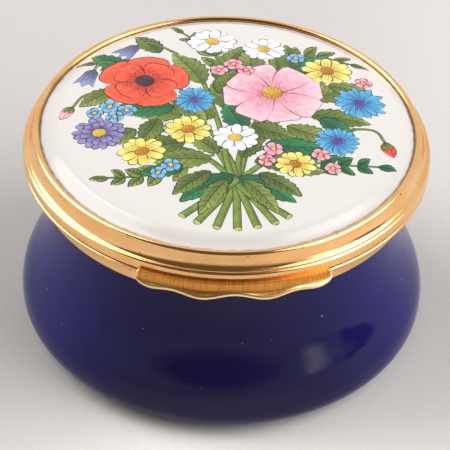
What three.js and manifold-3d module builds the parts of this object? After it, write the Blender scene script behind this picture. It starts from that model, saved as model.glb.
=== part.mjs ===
// A round enamel trinket box: an enamelled copper vessel and a domed enamelled lid,
// each set in a polished gilt mount, hinged at the back, with a thumb-piece in front.
// Millimetres, +Z up. The origin is at the bottom centre, the front faces -Y.
import * as THREE from 'three';
import { mergeVertices } from 'three/addons/utils/BufferGeometryUtils.js';
import Module from 'manifold-3d';

const wasm = await Module();
wasm.setup();

// Driving dimensions
const SEGMENTS = 48;
const RIM_RADIUS = 28.36;
const JOINT_HEIGHT = 28.0;
const CLEARANCE = 0.3;

const FOOT_RADIUS = 22.5;
const FOOT_RING_WIDTH = 2.8;
const FOOT_RECESS = 0.6;
const FLOOR_HEIGHT = 2.1;
const BULGE_RADIUS = 28.76;
const BULGE_HEIGHT = 4.6;
const BULGE_SQUARENESS = 2.3;
const FLANK_RISE = 6.1;
const NECK_DROP = 12.7;
const NECK_RADIUS = 23.82;
const NECK_START = 24.1;
const NECK_TOP = 26.6;
const WALL = 1.5;

const BASE_EDGE_RADIUS = 26.45;
const BASE_EDGE_HEIGHT = 24.1;
const BASE_BEAD = 0.26;
const BASE_EDGE_SHEET = 0.35;
const BASE_HOLLOW_RISE = 1.9;
const BASE_HOLLOW_REACH = 0.9;
const UPSTAND_RADIUS = 25.3;
const UPSTAND_WALL = 0.6;
const UPSTAND_HEIGHT = 0.9;

const ENAMEL_EDGE = 32.0;
const LID_WALL_RADIUS = 25.7;
const SEAT_RADIUS = 25.0;
const SEAT_HEIGHT = 30.2;
const UPPER_BEAD = { r: 26.47, z: ENAMEL_EDGE - 0.43, size: 0.45 };
const LOWER_BEAD = { r: 27.62, z: ENAMEL_EDGE - 2.34, size: 0.4 };
const LID_BAND = 0.8;
const LID_BAND_EASE = 0.12;

const PLAQUE_RADIUS = UPPER_BEAD.r - UPPER_BEAD.size - CLEARANCE;
const PLAQUE_TOP = 34.0;
const PLAQUE_SHOULDER = { r: 23.9, z: 32.72 };
const PLAQUE_WALL = 1.3;

const THUMB_SPAN = 26.6;
const THUMB_TOP = 28.5;
const THUMB_UPRIGHT = 0.75;
const THUMB_SHEET = 0.55;
const THUMB_GAP = 0.2;
const THUMB_FLARE = 1.5;
const THUMB_STEPS = 26;
// Share of the quarter-round flare kept at each bearing from the front, in degrees
const THUMB_SCALLOPS = [[0, 0.54], [9.3, 0.91], [18, 0.51], [23.7, 0.63], [THUMB_SPAN, 0.45]];

const KNUCKLE_COUNT = 5;
const KNUCKLE_RADIUS = 0.95;
const HINGE_WIDTH = 16;
const PIN_RADIUS = 0.42;
const PIN_PLAY = 0.08;
const WEB_HEIGHT = 1.7;
const WEB_ROOT = 26.9;

const blueEnamel = new THREE.MeshStandardMaterial({ color: 0x1f2052, roughness: 0.12, metalness: 0 });
const whiteEnamel = new THREE.MeshStandardMaterial({ color: 0xefece8, roughness: 0.12, metalness: 0 });
const gilt = new THREE.MeshStandardMaterial({ color: 0xe3b774, roughness: 0.18, metalness: 1 });

const radians = THREE.MathUtils.degToRad;
const point = (r, z) => new THREE.Vector2(r, z);

// Points of an arc in the section plane, angles in degrees from the outward direction
function arc(r, z, size, from, to, steps) {
  const points = [];
  for (let i = 0; i <= steps; i += 1) {
    const a = radians(from + (to - from) * i / steps);
    points.push(point(r + size * Math.cos(a), z + size * Math.sin(a)));
  }
  return points;
}

// Points of a curve that leaves one point and reaches the next along given handles
function sweep(start, handleA, handleB, end, steps) {
  return new THREE.CubicBezierCurve(start, handleA, handleB, end).getPoints(steps);
}

// A section in radius and height, turned about the upright axis
function turned(points) {
  const geometry = new THREE.LatheGeometry(points, SEGMENTS);
  geometry.rotateX(Math.PI / 2);
  return geometry;
}

// Ends a section where it began, for a ring
function closed(points) {
  return [...points, points[0].clone()];
}

function toSolid(geometry) {
  const bare = geometry.clone();
  bare.deleteAttribute('normal');
  bare.deleteAttribute('uv');
  const merged = mergeVertices(bare, 1e-4);
  const mesh = new wasm.Mesh({
    numProp: 3,
    vertProperties: new Float32Array(merged.attributes.position.array),
    triVerts: new Uint32Array(merged.index.array),
  });
  mesh.merge();
  return new wasm.Manifold(mesh);
}

function toGeometry(solid) {
  const mesh = solid.getMesh();
  const geometry = new THREE.BufferGeometry();
  geometry.setAttribute('position', new THREE.BufferAttribute(mesh.vertProperties, 3));
  geometry.setIndex(new THREE.BufferAttribute(mesh.triVerts, 1));
  geometry.computeVertexNormals();
  return geometry;
}

// The body's outer line: a squarish swelling foot, then a long hollow sweep up to the neck
function bodyOutline() {
  const points = [];
  const power = 2 / BULGE_SQUARENESS;
  const quarterSteps = 6;
  for (let i = 0; i <= quarterSteps; i += 1) {
    const a = Math.PI / 2 * i / quarterSteps;
    const r = FOOT_RADIUS + (BULGE_RADIUS - FOOT_RADIUS) * Math.sin(a) ** power;
    const z = BULGE_HEIGHT * (1 - Math.max(Math.cos(a), 0) ** power);
    points.push(point(r, z));
  }
  const flank = sweep(
    point(BULGE_RADIUS, BULGE_HEIGHT),
    point(BULGE_RADIUS, BULGE_HEIGHT + FLANK_RISE),
    point(NECK_RADIUS, NECK_START - NECK_DROP),
    point(NECK_RADIUS, NECK_START),
    8,
  );
  return [...points, ...flank.slice(1)];
}

// The same line moved inwards by the wall, without the part under the floor
function bodyLining(outline) {
  const inner = [];
  for (let i = 1; i < outline.length; i += 1) {
    const before = outline[i - 1];
    const after = outline[Math.min(i + 1, outline.length - 1)];
    const along = after.clone().sub(before).normalize();
    const moved = point(outline[i].x - along.y * WALL, outline[i].y + along.x * WALL);
    if (moved.y > FLOOR_HEIGHT + CLEARANCE) {
      inner.push(moved);
    }
  }
  return inner;
}

function boxBody() {
  const outline = bodyOutline();
  const lining = bodyLining(outline).reverse();
  const ringInside = FOOT_RADIUS - FOOT_RING_WIDTH;
  return turned([
    point(0, FOOT_RECESS),
    point(ringInside - 1, FOOT_RECESS),
    point(ringInside, 0),
    ...outline,
    point(NECK_RADIUS, NECK_TOP),
    point(NECK_RADIUS - WALL, NECK_TOP),
    ...lining,
    point(FOOT_RADIUS, FLOOR_HEIGHT),
    point(0, FLOOR_HEIGHT),
  ]);
}

const baseTop = JOINT_HEIGHT - CLEARANCE / 2;
const lidBottom = JOINT_HEIGHT + CLEARANCE / 2;

function baseRing() {
  const beadCentre = RIM_RADIUS - BASE_BEAD;
  const crease = point(beadCentre - 0.1, baseTop - 2 * BASE_BEAD - 0.05);
  const collar = NECK_RADIUS + CLEARANCE;
  const mouth = NECK_RADIUS - WALL + 0.2;
  const lap = NECK_TOP + CLEARANCE;
  const hollow = sweep(
    point(BASE_EDGE_RADIUS, BASE_EDGE_HEIGHT),
    point(BASE_EDGE_RADIUS, BASE_EDGE_HEIGHT + BASE_HOLLOW_RISE),
    point(crease.x - BASE_HOLLOW_REACH, crease.y - 0.3),
    crease,
    4,
  );
  return closed([
    point(BASE_EDGE_RADIUS - BASE_EDGE_SHEET, BASE_EDGE_HEIGHT),
    ...hollow,
    ...arc(beadCentre, baseTop - BASE_BEAD, BASE_BEAD, -60, 90, 3),
    point(UPSTAND_RADIUS, baseTop),
    point(UPSTAND_RADIUS, baseTop + UPSTAND_HEIGHT),
    point(UPSTAND_RADIUS - UPSTAND_WALL, baseTop + UPSTAND_HEIGHT),
    point(UPSTAND_RADIUS - UPSTAND_WALL, baseTop - 0.1),
    point(mouth, baseTop - 0.3),
    point(mouth, lap),
    point(collar, lap),
    point(collar, BASE_EDGE_HEIGHT + 1.2),
    point(collar + 0.9, BASE_EDGE_HEIGHT + 0.8),
  ]);
}

function lidRing() {
  const hollow = sweep(
    point(LOWER_BEAD.r - 0.12, LOWER_BEAD.z + LOWER_BEAD.size),
    point(LOWER_BEAD.r - 0.35, LOWER_BEAD.z + LOWER_BEAD.size + 0.35),
    point(UPPER_BEAD.r + 0.5, UPPER_BEAD.z - 0.9),
    point(UPPER_BEAD.r + 0.4, UPPER_BEAD.z - 0.25),
    3,
  );
  const rabbet = UPPER_BEAD.r - UPPER_BEAD.size;
  return closed([
    point(LID_WALL_RADIUS, lidBottom),
    point(RIM_RADIUS - LID_BAND_EASE, lidBottom),
    point(RIM_RADIUS, lidBottom + LID_BAND_EASE),
    point(RIM_RADIUS, lidBottom + LID_BAND),
    point(RIM_RADIUS - 0.28, lidBottom + LID_BAND + 0.3),
    ...arc(LOWER_BEAD.r, LOWER_BEAD.z, LOWER_BEAD.size, -40, 80, 4),
    ...hollow,
    ...arc(UPPER_BEAD.r, UPPER_BEAD.z, UPPER_BEAD.size, 0, 180, 5),
    point(rabbet, SEAT_HEIGHT),
    point(SEAT_RADIUS, SEAT_HEIGHT),
    point(SEAT_RADIUS, SEAT_HEIGHT - 0.6),
    point(LID_WALL_RADIUS, SEAT_HEIGHT - 0.9),
  ]);
}

function lidPlaque() {
  const edgeTop = ENAMEL_EDGE - 0.35;
  const edgeBottom = SEAT_HEIGHT + CLEARANCE;
  const crown = sweep(
    point(PLAQUE_SHOULDER.r, PLAQUE_SHOULDER.z),
    point(PLAQUE_SHOULDER.r - 8, PLAQUE_SHOULDER.z + 0.88),
    point(8, PLAQUE_TOP),
    point(0, PLAQUE_TOP),
    4,
  );
  const underside = crown.map((p) => point(p.x, p.y - PLAQUE_WALL)).reverse();
  return turned([
    ...underside,
    point(SEAT_RADIUS, edgeBottom),
    point(PLAQUE_RADIUS, edgeBottom),
    point(PLAQUE_RADIUS, edgeTop),
    point(PLAQUE_RADIUS - 0.45, edgeTop + 0.5),
    point(PLAQUE_RADIUS - 1.05, edgeTop + 0.83),
    ...crown,
  ]);
}

// Share of the flare kept at a bearing, eased from one lobe or notch to the next
function scallopAt(bearing) {
  const b = Math.abs(bearing);
  let i = 1;
  while (i < THUMB_SCALLOPS.length - 1 && b > THUMB_SCALLOPS[i][0]) {
    i += 1;
  }
  const [b0, share0] = THUMB_SCALLOPS[i - 1];
  const [b1, share1] = THUMB_SCALLOPS[i];
  const t = Math.min((b - b0) / (b1 - b0), 1);
  return share0 + (share1 - share0) * (1 - Math.cos(Math.PI * t)) / 2;
}

// Section of the thumb-piece: an upright sheet that flares outwards in a quarter round
function thumbSection(share) {
  const inner = RIM_RADIUS + THUMB_GAP;
  const turnR = inner + THUMB_SHEET + THUMB_FLARE;
  const turnZ = THUMB_TOP - THUMB_UPRIGHT;
  const stop = 180 + 90 * share;
  const front = arc(turnR, turnZ, THUMB_FLARE, 180, stop, 4);
  const back = arc(turnR, turnZ, THUMB_FLARE + THUMB_SHEET, stop, 180, 4);
  return [point(inner, THUMB_TOP), ...back.reverse(), ...front.reverse(), point(inner + THUMB_SHEET, THUMB_TOP)];
}

// Joins one closed section to the next round the front and closes both ends
function thumbPiece() {
  const sections = [];
  for (let i = 0; i <= THUMB_STEPS; i += 1) {
    const bearing = THUMB_SPAN * (2 * i / THUMB_STEPS - 1);
    sections.push({ bearing: radians(bearing), loop: thumbSection(scallopAt(bearing)) });
  }
  const size = sections[0].loop.length;
  const positions = [];
  for (const { bearing, loop } of sections) {
    for (const p of loop) {
      positions.push(p.x * Math.sin(bearing), -p.x * Math.cos(bearing), p.y);
    }
  }
  const indices = [];
  for (let i = 0; i < THUMB_STEPS; i += 1) {
    for (let j = 0; j < size; j += 1) {
      const a = i * size + j;
      const b = i * size + (j + 1) % size;
      indices.push(a, a + size, b, b, a + size, b + size);
    }
  }
  const last = THUMB_STEPS * size;
  for (const [a, b, c] of THREE.ShapeUtils.triangulateShape(sections[0].loop, [])) {
    indices.push(a, b, c, last + a, last + c, last + b);
  }
  const geometry = new THREE.BufferGeometry();
  geometry.setAttribute('position', new THREE.Float32BufferAttribute(positions, 3));
  geometry.setIndex(indices);
  geometry.computeVertexNormals();
  return geometry;
}

const thumbGeometry = thumbPiece();
thumbGeometry.computeBoundingBox();

// The hinge reaches as far back as the thumb-piece reaches forward
const hingeAxis = -thumbGeometry.boundingBox.min.y - KNUCKLE_RADIUS;
const knucklePitch = (HINGE_WIDTH + CLEARANCE) / KNUCKLE_COUNT;
const knuckleLength = knucklePitch - CLEARANCE;

function rod(radius, length, x) {
  const geometry = new THREE.CylinderGeometry(radius, radius, length, 16);
  geometry.rotateZ(Math.PI / 2);
  geometry.translate(x, hingeAxis, JOINT_HEIGHT);
  return geometry;
}

// A web from the knuckle into its mount, below the joint for the base and above it for the lid
function web(x, side) {
  const depth = hingeAxis - WEB_ROOT;
  const geometry = new THREE.BoxGeometry(knuckleLength, depth, WEB_HEIGHT - CLEARANCE);
  geometry.translate(x, WEB_ROOT + depth / 2, JOINT_HEIGHT + side * (WEB_HEIGHT + CLEARANCE) / 2);
  return geometry;
}

// A mount with every other knuckle, hollowed where the other mount's knuckles turn
function mountWithKnuckles(ring, first, side) {
  let solid = toSolid(turned(ring));
  for (let i = 0; i < KNUCKLE_COUNT; i += 1) {
    const x = (i - (KNUCKLE_COUNT - 1) / 2) * knucklePitch;
    if (i % 2 === first) {
      solid = solid.add(toSolid(rod(KNUCKLE_RADIUS, knuckleLength, x))).add(toSolid(web(x, side)));
    } else {
      solid = solid.subtract(toSolid(rod(KNUCKLE_RADIUS + CLEARANCE, knuckleLength + 2 * CLEARANCE, x)));
    }
  }
  return toGeometry(solid.subtract(toSolid(rod(PIN_RADIUS + PIN_PLAY, 2 * HINGE_WIDTH, 0))));
}

function piece(name, geometry, material) {
  const mesh = new THREE.Mesh(geometry, material);
  mesh.name = name;
  return mesh;
}

const base = new THREE.Group();
base.add(piece('box_body', boxBody(), blueEnamel));
base.add(piece('base_bezel', mountWithKnuckles(baseRing(), 0, -1), gilt));
base.add(piece('hinge_pin', rod(PIN_RADIUS, HINGE_WIDTH + 0.6, 0), gilt));

const lid = new THREE.Group();
lid.add(piece('lid_bezel', mountWithKnuckles(lidRing(), 1, 1), gilt));
lid.add(piece('lid_plaque', lidPlaque(), whiteEnamel));
lid.add(piece('thumb_piece', thumbGeometry, gilt));

const group = new THREE.Group();
group.add(base, lid);

export default group;
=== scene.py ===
import math

import bmesh
import bpy
import numpy as np
from mathutils import Matrix, Vector
from mathutils.geometry import delaunay_2d_cdt


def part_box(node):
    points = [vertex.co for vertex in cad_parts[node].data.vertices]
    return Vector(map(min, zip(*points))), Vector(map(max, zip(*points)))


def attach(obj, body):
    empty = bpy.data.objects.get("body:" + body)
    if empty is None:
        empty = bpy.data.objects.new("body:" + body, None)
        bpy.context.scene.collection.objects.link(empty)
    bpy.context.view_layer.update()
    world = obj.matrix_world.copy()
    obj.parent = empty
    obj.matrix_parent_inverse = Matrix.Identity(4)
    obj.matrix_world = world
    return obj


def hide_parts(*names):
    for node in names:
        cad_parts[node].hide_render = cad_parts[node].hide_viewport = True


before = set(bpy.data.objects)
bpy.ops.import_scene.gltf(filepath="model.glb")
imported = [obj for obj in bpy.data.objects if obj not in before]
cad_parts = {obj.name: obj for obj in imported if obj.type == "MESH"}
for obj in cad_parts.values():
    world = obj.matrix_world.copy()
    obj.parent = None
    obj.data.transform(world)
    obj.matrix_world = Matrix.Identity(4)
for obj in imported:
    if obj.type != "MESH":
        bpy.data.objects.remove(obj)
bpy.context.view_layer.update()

# Sizes in millimetres, as in the part; a mesh is scaled to metres when it is made
MM = 0.001
TURNS = 216
RIM_RADIUS = 28.36
JOINT_HEIGHT = 28.0
CLEARANCE = 0.3
BASE_TOP = JOINT_HEIGHT - CLEARANCE / 2
LID_BOTTOM = JOINT_HEIGHT + CLEARANCE / 2

FOOT_RADIUS = 22.5
FOOT_RING_WIDTH = 2.8
FOOT_RECESS = 0.6
FLOOR_HEIGHT = 2.1
BULGE_RADIUS = 28.76
BULGE_HEIGHT = 4.6
BULGE_SQUARENESS = 2.3
FLANK_RISE = 6.1
NECK_RADIUS = 23.82
NECK_START = 24.1
NECK_DROP = 12.7
NECK_TOP = 26.6
WALL = 1.5

BASE_EDGE_RADIUS = 26.45
BASE_EDGE_HEIGHT = 24.1
BASE_BEAD = 0.26
UPSTAND_RADIUS = 25.3
UPSTAND_WALL = 0.6
UPSTAND_HEIGHT = 0.9

ENAMEL_EDGE = 32.0
LID_WALL_RADIUS = 25.7
SEAT_RADIUS = 25.0
SEAT_HEIGHT = 30.2
UPPER_BEAD = (26.5, ENAMEL_EDGE - 0.52, 0.5)
LOWER_BEAD = (27.84, ENAMEL_EDGE - 2.86, 0.47)

PLAQUE_TOP = 34.0
PLAQUE_SHOULDER = (23.2, 32.75)
PLAQUE_EDGE = (26.0, 31.5)
PLAQUE_WALL = 1.3

THUMB_SPAN = 26.6
THUMB_TOP = 28.5
THUMB_UPRIGHT = 0.75
THUMB_SHEET = 0.55
THUMB_FLARE = 1.5
THUMB_LIP = 0.39
THUMB_END_TURN = 1.9
THUMB_END_CREST = 0.9
THUMB_END_SWELL = 0.7
THUMB_SCALLOPS = ((0, 0.31), (8.7, 0.55), (16.8, 0.34), (22.6, 0.43), (THUMB_SPAN, 0.32))

KNUCKLE_COUNT = 5
KNUCKLE_RADIUS = 0.95
HINGE_WIDTH = 16.0
PIN_RADIUS = 0.42
PIN_PLAY = 0.08
WEB_HEIGHT = 1.7
WEB_ROOT = 26.9
KNUCKLE_PITCH = (HINGE_WIDTH + CLEARANCE) / KNUCKLE_COUNT
KNUCKLE_LENGTH = KNUCKLE_PITCH - CLEARANCE
HINGE_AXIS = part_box("hinge_pin")[0][1] / MM + PIN_RADIUS

# The photograph's view, found from the outlines of the rings in its frame of 450 pixels
FRAME_PIXELS = 450
FOCAL_PIXELS = 2815.6
VIEW_DISTANCE = 400.0
VIEW_ELEVATION = 39.42
VIEW_AZIMUTH = -3.55
VIEW_ROLL = 2.25
AXIS_POINT = 16.54
AXIS_PIXEL = (224.2, 214.0)


def srgb(r, g, b):
    """A screen colour from 0 to 255 as linear red, green and blue."""
    return tuple((v / 255 / 12.92) if v <= 10 else ((v / 255 + 0.055) / 1.055) ** 2.4 for v in (r, g, b))


# The picture's size and place on the lid, and the enameller's tones, deep and light
PICTURE_SCALE = 1.07
PICTURE_SHIFT = -0.8
GROUND = srgb(209, 205, 202)
INK = srgb(38, 44, 34)
DARK_INK = srgb(40, 34, 40)
OLIVE = (srgb(92, 112, 40), srgb(150, 166, 82))
MOSS = (srgb(70, 94, 34), srgb(126, 146, 62))
EMERALD = (srgb(14, 92, 58), srgb(52, 138, 84))
STALK = srgb(118, 142, 58)
CUT_STALK = srgb(214, 214, 140)


# Section curves

def arc(r, z, size, start, stop, steps):
    """Points of an arc in the section plane, angles in degrees from the outward direction."""
    return [
        (r + size * math.cos(a), z + size * math.sin(a))
        for a in np.radians(np.linspace(start, stop, steps + 1))
    ]


def sweep(start, handle_a, handle_b, end, steps):
    """Points of a curve that leaves one point and reaches the next along given handles."""
    t = np.linspace(0, 1, steps + 1)[:, None]
    p = [np.array(v, float) for v in (start, handle_a, handle_b, end)]
    curve = (1 - t) ** 3 * p[0] + 3 * (1 - t) ** 2 * t * p[1] + 3 * (1 - t) * t**2 * p[2] + t**3 * p[3]
    return [tuple(v) for v in curve]


def rounded(points, radii, steps=4):
    """A closed or open chain of corners, each eased by its own radius; 0 keeps a corner."""
    out = []
    for i, (corner, radius) in enumerate(zip(points, radii)):
        if not radius:
            out.append(corner)
            continue
        c = Vector(corner)
        before = (Vector(points[i - 1]) - c).normalized()
        after = (Vector(points[(i + 1) % len(points)]) - c).normalized()
        a, b = c + before * radius, c + after * radius
        for t in np.linspace(0, 1, steps + 1):
            p = a.lerp(c, t).lerp(c.lerp(b, t), t)
            out.append((p.x, p.y))
    return out


# Meshes

def add_object(name, data):
    obj = bpy.data.objects.new(name, data)
    bpy.context.scene.collection.objects.link(obj)
    return obj


def crease_at(mesh, degrees):
    """Smooth but for edges that turn by more than this."""
    mesh.shade_smooth()
    mesh.set_sharp_from_angle(angle=math.radians(degrees))


def finish_mesh(name, bm, crease=32.0):
    """Turns a bmesh in millimetres into an object in metres, smooth but for its creases."""
    bmesh.ops.remove_doubles(bm, verts=bm.verts, dist=1e-4)
    bmesh.ops.recalc_face_normals(bm, faces=bm.faces)
    bmesh.ops.scale(bm, vec=(MM, MM, MM), verts=bm.verts)
    mesh = bpy.data.meshes.new(name)
    bm.to_mesh(mesh)
    bm.free()
    crease_at(mesh, crease)
    return add_object(name, mesh)


def turned(section, closed, turns=TURNS, lined_from=None):
    """A section in radius and height, turned about the upright axis; later points can be marked as lining."""
    bm = bmesh.new()
    mark = bm.verts.layers.float.new("lining") if lined_from else None
    angles = np.linspace(0, 2 * math.pi, turns, endpoint=False)
    rings = []
    for number, (r, z) in enumerate(section):
        if r < 1e-6:
            rings.append([bm.verts.new((0, 0, z))] * turns)
        else:
            rings.append([bm.verts.new((r * math.cos(a), r * math.sin(a), z)) for a in angles])
        if lined_from and number >= lined_from:
            for v in rings[-1]:
                v[mark] = 1.0
    pairs = list(zip(rings, rings[1:] + rings[:1])) if closed else list(zip(rings, rings[1:]))
    for low, high in pairs:
        for i in range(turns):
            j = (i + 1) % turns
            corners = []
            for v in (low[i], low[j], high[j], high[i]):
                if v not in corners:
                    corners.append(v)
            if len(corners) > 2:
                bm.faces.new(corners)
    return bm


def body_section():
    """The vessel's section from the middle of its foot over the rim to the middle of its floor, and where the
    lining starts in it."""
    power = 2 / BULGE_SQUARENESS
    outline = []
    for a in np.linspace(0, math.pi / 2, 33):
        r = FOOT_RADIUS + (BULGE_RADIUS - FOOT_RADIUS) * math.sin(a) ** power
        z = BULGE_HEIGHT * (1 - max(math.cos(a), 0) ** power)
        outline.append((r, z))
    outline += sweep(
        (BULGE_RADIUS, BULGE_HEIGHT),
        (BULGE_RADIUS, BULGE_HEIGHT + FLANK_RISE),
        (NECK_RADIUS, NECK_START - NECK_DROP),
        (NECK_RADIUS, NECK_START),
        56,
    )[1:]
    lining = []
    for i in range(1, len(outline)):
        before, after = Vector(outline[i - 1]), Vector(outline[min(i + 1, len(outline) - 1)])
        along = (after - before).normalized()
        moved = Vector(outline[i]) + Vector((-along.y, along.x)) * WALL
        if moved.y > FLOOR_HEIGHT + 1.0:
            lining.append((moved.x, moved.y))
    lining.reverse()
    ring_inside = FOOT_RADIUS - FOOT_RING_WIDTH
    corner = sweep(
        lining[-1],
        (lining[-1][0] - 0.5, FLOOR_HEIGHT + 0.3),
        (FOOT_RADIUS + 1.5, FLOOR_HEIGHT),
        (FOOT_RADIUS - 1.0, FLOOR_HEIGHT),
        8,
    )
    outside = [
        (0, FOOT_RECESS),
        (ring_inside - 4, FOOT_RECESS),
        (ring_inside - 1.1, FOOT_RECESS),
        (ring_inside - 0.7, FOOT_RECESS - 0.1),
        (ring_inside - 0.2, 0.12),
        (ring_inside + 0.15, 0.0),
        *outline,
    ]
    inside = [
        (NECK_RADIUS, NECK_TOP - 0.3),
        *arc(NECK_RADIUS - 0.3, NECK_TOP - 0.3, 0.3, 20, 90, 4),
        *arc(NECK_RADIUS - WALL + 0.3, NECK_TOP - 0.3, 0.3, 90, 180, 5),
        *lining,
        *corner[1:],
        (12, FLOOR_HEIGHT),
        (0, FLOOR_HEIGHT),
    ]
    return outside + inside, len(outside)


def base_section():
    """The base mount: a hollow flank, a bead under the joint and a low upstand inside it."""
    bead_centre = RIM_RADIUS - BASE_BEAD
    crease = (bead_centre - 0.1, BASE_TOP - 2 * BASE_BEAD - 0.05)
    collar = NECK_RADIUS + CLEARANCE
    mouth = NECK_RADIUS - WALL + 0.2
    lap = NECK_TOP + CLEARANCE
    hollow = sweep(
        (BASE_EDGE_RADIUS, BASE_EDGE_HEIGHT + 0.15),
        (BASE_EDGE_RADIUS, BASE_EDGE_HEIGHT + 1.9),
        (crease[0] - 0.9, crease[1] - 0.3),
        crease,
        22,
    )
    upstand = rounded(
        [
            (UPSTAND_RADIUS, BASE_TOP),
            (UPSTAND_RADIUS, BASE_TOP + UPSTAND_HEIGHT),
            (UPSTAND_RADIUS - UPSTAND_WALL, BASE_TOP + UPSTAND_HEIGHT),
            (UPSTAND_RADIUS - UPSTAND_WALL, BASE_TOP - 0.1),
            (mouth, BASE_TOP - 0.3),
            (mouth, lap),
        ],
        [0, 0.25, 0.25, 0, 0.25, 0.1],
    )
    return [
        (BASE_EDGE_RADIUS - 0.35, BASE_EDGE_HEIGHT + 0.1),
        *arc(BASE_EDGE_RADIUS - 0.15, BASE_EDGE_HEIGHT + 0.15, 0.15, -110, 0, 5)[:-1],
        *hollow,
        *arc(bead_centre, BASE_TOP - BASE_BEAD, BASE_BEAD, -60, 90, 12),
        *upstand,
        (collar, lap),
        (collar, BASE_EDGE_HEIGHT + 1.2),
        (collar + 0.9, BASE_EDGE_HEIGHT + 0.8),
    ]


def lid_section():
    """The lid's mount: a plain foot, the lower bead, a hollow and the upper bead over the enamel's seat."""
    r_low, z_low, s_low = LOWER_BEAD
    r_up, z_up, s_up = UPPER_BEAD
    hollow = sweep(
        (r_low + 0.12, z_low + 0.434),
        (r_low - 0.25, z_low + 0.5),
        (r_up + 0.8, z_up - 1.5),
        (r_up + 0.5, z_up - 0.05),
        22,
    )
    rabbet = r_up - s_up
    return [
        (LID_WALL_RADIUS, LID_BOTTOM),
        *arc(RIM_RADIUS - 0.12, LID_BOTTOM + 0.12, 0.12, -90, 0, 4),
        (RIM_RADIUS, z_low - 0.35),
        *arc(r_low, z_low, s_low, 2, 74, 14),
        *hollow,
        *arc(r_up, z_up, s_up, 0, 190, 22),
        (rabbet, SEAT_HEIGHT),
        (SEAT_RADIUS, SEAT_HEIGHT),
        (SEAT_RADIUS, SEAT_HEIGHT - 0.6),
        (LID_WALL_RADIUS, SEAT_HEIGHT - 0.9),
    ]


def dome(r):
    """Height of the lid's enamel within its shoulder."""
    return PLAQUE_TOP - (PLAQUE_TOP - PLAQUE_SHOULDER[1]) * (r / PLAQUE_SHOULDER[0]) ** 2


def plaque_sections():
    """The enamel's top from the middle outwards, and its underside from the edge inwards."""
    slope = 2 * (PLAQUE_TOP - PLAQUE_SHOULDER[1]) / PLAQUE_SHOULDER[0]
    crown = [(r, dome(r)) for r in np.linspace(0, PLAQUE_SHOULDER[0], 25)]
    roll = sweep(
        PLAQUE_SHOULDER,
        (PLAQUE_SHOULDER[0] + 1.2, PLAQUE_SHOULDER[1] - 1.2 * slope),
        (PLAQUE_EDGE[0] - 1.1, PLAQUE_EDGE[1] + 0.25),
        PLAQUE_EDGE,
        14,
    )
    under = [(r, z - PLAQUE_WALL) for r, z in crown[::4]]
    seat = SEAT_HEIGHT + CLEARANCE
    return crown + roll[1:], [(PLAQUE_EDGE[0] - 0.28, seat), (SEAT_RADIUS, seat), *under[::-1]]


def topmost(centres, shapes):
    """For each point, the number of the last shape that covers it, or -1."""
    order = np.argsort(centres[:, 0], kind="stable")
    ordered = centres[order]
    owner = np.full(len(centres), -1)
    for number, outline in enumerate(shapes):
        p = np.array(outline)
        first, last = np.searchsorted(ordered[:, 0], (p[:, 0].min(), p[:, 0].max()))
        near = order[first:last]
        near = near[(centres[near, 1] > p[:, 1].min()) & (centres[near, 1] < p[:, 1].max())]
        if not len(near):
            continue
        x, y = centres[near, 0][:, None], centres[near, 1][:, None]
        q = np.roll(p, -1, axis=0)
        side = (q[:, 0] - p[:, 0]) * (y - p[:, 1]) - (x - p[:, 0]) * (q[:, 1] - p[:, 1])
        upward = (p[:, 1] <= y) & (q[:, 1] > y) & (side > 0)
        downward = (p[:, 1] > y) & (q[:, 1] <= y) & (side < 0)
        winding = upward.sum(axis=1) - downward.sum(axis=1)
        owner[near[winding != 0]] = number
    return owner


def parted(points, edges, shapes):
    """Triangles cut along the edges, with the number of the shape that each one shows."""
    plan, _, triangles, _, _, _ = delaunay_2d_cdt(points, edges, [], 0, 2e-4, False)
    plan = np.array([(p.x, p.y) for p in plan])
    centres = (plan[np.array(triangles)].mean(axis=1) - (0, PICTURE_SHIFT)) / PICTURE_SCALE
    return plan, triangles, topmost(centres, shapes)


def ring_points(radii, turns):
    """Points in plan that carry the dome's curve: rings that grow closer round the shoulder."""
    points = [Vector((0, 0))]
    for r in radii[1:]:
        count = turns if r > PLAQUE_SHOULDER[0] - 0.5 else max(12, int(r * 5))
        angles = np.linspace(0, 2 * math.pi, count, endpoint=False)
        points += [Vector((r * math.cos(a), r * math.sin(a))) for a in angles]
    return points


def picture_plan(art, rings):
    """The enamel's top in plan: its points, its triangles and the shape that each triangle shows."""
    points = rings[:]
    edges = []
    for outline in art.shapes:
        start, size = len(points), len(outline)
        points += [Vector((x * PICTURE_SCALE, y * PICTURE_SCALE + PICTURE_SHIFT)) for x, y in outline]
        edges += [(start + i, start + (i + 1) % size) for i in range(size)]
    plan, triangles, owners = parted(points, edges, art.shapes)

    # lines hidden under later shapes are dropped, and the top is cut again along the rest
    sides = {}
    for triangle, owner in zip(triangles, owners):
        for a, b in zip(triangle, triangle[1:] + triangle[:1]):
            sides.setdefault((min(a, b), max(a, b)), []).append(owner)
    seen = [pair for pair, both in sides.items() if len(both) == 2 and both[0] != both[1]]
    number = {}
    for pair in seen:
        for v in pair:
            number.setdefault(v, len(rings) + len(number))
    points = rings + [Vector(plan[v]) for v in number]
    return parted(points, [(number[a], number[b]) for a, b in seen], art.shapes)


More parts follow.
